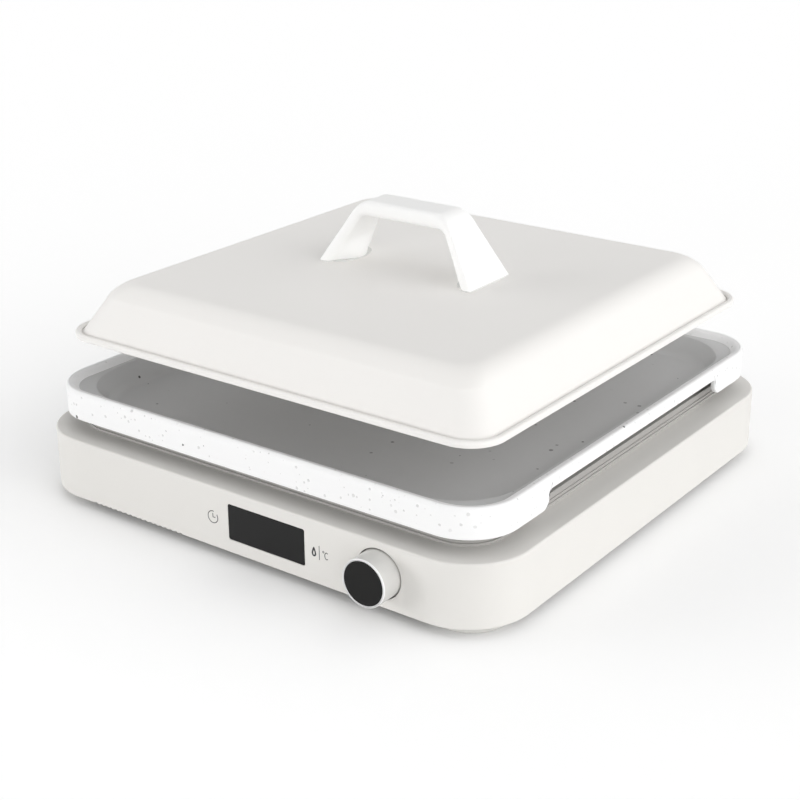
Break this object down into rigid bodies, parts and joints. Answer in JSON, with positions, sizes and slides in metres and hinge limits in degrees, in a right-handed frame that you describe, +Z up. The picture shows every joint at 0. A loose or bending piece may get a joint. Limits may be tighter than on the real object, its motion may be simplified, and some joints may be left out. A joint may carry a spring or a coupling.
{
  "type": "electric pan",
  "caption": "Square electric pan: base with heating platform, display and press-and-turn knob, lift-out pan with finger notches, and a domed lid with a strap handle.",
  "frame": {"origin": "middle of the footprint, knob included, at the level of the feet's undersides", "axes": "+Z up; the front face with display and knob looks along -Y; +X to the right seen from the front"},
  "size_m": [0.34, 0.3538, 0.1739],
  "materials": {
    "housing_plastic": "moulded plastic with a fine satin texture, warm off-white",
    "cover_plastic": "moulded plastic, light grey, spark-eroded texture",
    "foot_rubber": "moulded rubber, pale grey",
    "platform_frame": "die-cast and blasted",
    "platform_plate": "cast, dark hard-anodised",
    "element_sheath": "drawn tube, heat-tinted",
    "ceramic_bush": "fired steatite",
    "pressed_steel": "pressed sheet",
    "fibre_mat": "needled mineral fibre",
    "probe_metal": "turned",
    "spring_steel": "drawn wire",
    "cutout_body": "moulded phenolic",
    "pan_coating": "speckled ceramic coating on cast aluminium",
    "lid_enamel": "satin stoved enamel on pressed steel, warm off-white",
    "handle_plastic": "moulded plastic, white",
    "silicone": "moulded silicone",
    "brass_insert": "knurled",
    "screw_steel": "zinc plated",
    "window_acrylic": "tinted, polished",
    "module_plastic": "moulded, dark",
    "circuit_board": "laminate with solder mask",
    "encoder_metal": "stamped can",
    "knob_plastic": "moulded plastic, warm off-white",
    "knob_face_plastic": "polished, near black",
    "component_black": "moulded",
    "transformer_tape": "wound tape",
    "capacitor_sleeve": "shrunk sleeve",
    "terminal_green": "moulded",
    "socket_plastic": "moulded, black",
    "blade_brass": "nickel-plated"
  },
  "bodies": {
    "base": {"base_housing": "housing_plastic", "bottom_cover": "cover_plastic", "feet": "foot_rubber", "plinth_frame": "platform_frame", "heating_plate": "platform_plate", "heating_element": "element_sheath", "element_bushes": "ceramic_bush", "element_clips": "pressed_steel", "reflector_tray": "pressed_steel", "insulation_blanket": "fibre_mat", "probe_cup": "pressed_steel", "probe_spring": "spring_steel", "thermal_cutout": "cutout_body", "thermal_fuse": "probe_metal", "display_window": "window_acrylic", "display_module": "module_plastic", "control_board": "circuit_board", "control_screws": "screw_steel", "encoder_body": "encoder_metal", "power_board": "circuit_board", "board_screws": "screw_steel", "heater_relay": "component_black", "supply_transformer": "transformer_tape", "smoothing_capacitors": "capacitor_sleeve", "heat_sink": "probe_metal", "terminal_block": "terminal_green", "power_inlet": "socket_plastic", "inlet_blades": "blade_brass", "housing_screws": "screw_steel", "plate_screws": "screw_steel", "frame_screws": "screw_steel"},
    "probe": {"temperature_probe": "probe_metal"},
    "press_switch": {"press_plunger": "module_plastic"},
    "knob": {"encoder_shaft": "encoder_metal", "knob_shell": "knob_plastic", "knob_face": "knob_face_plastic"},
    "pan": {"pan_body": "pan_coating"},
    "lid": {"lid_shell": "lid_enamel", "lid_handle": "handle_plastic", "handle_pads": "silicone", "handle_inserts": "brass_insert", "handle_washers": "screw_steel", "handle_screws": "screw_steel"}
  },
  "joints": [
    {"name": "pan_lift", "type": "slide", "parent": "base", "child": "pan", "axis": [0, 0, 1], "range_m": [0, 0.1]},
    {"name": "lid_lift", "type": "slide", "parent": "pan", "child": "lid", "axis": [0, 0, 1], "range_m": [-0.0327, 0.12]},
    {"name": "knob_press", "type": "slide", "parent": "base", "child": "press_switch", "axis": [0, 1, 0], "range_m": [0, 0.0012], "stiffness_N_per_m": 900},
    {"name": "knob_turn", "type": "hinge", "parent": "press_switch", "child": "knob", "pos_m": [0.1004, -0.16315, 0.0251], "axis": [0, 1, 0], "continuous": true},
    {"name": "probe_travel", "type": "slide", "parent": "base", "child": "probe", "axis": [0, 0, 1], "range_m": [-0.0015, 0], "stiffness_N_per_m": 400, "deforming": ["probe_spring"]}
  ]
}
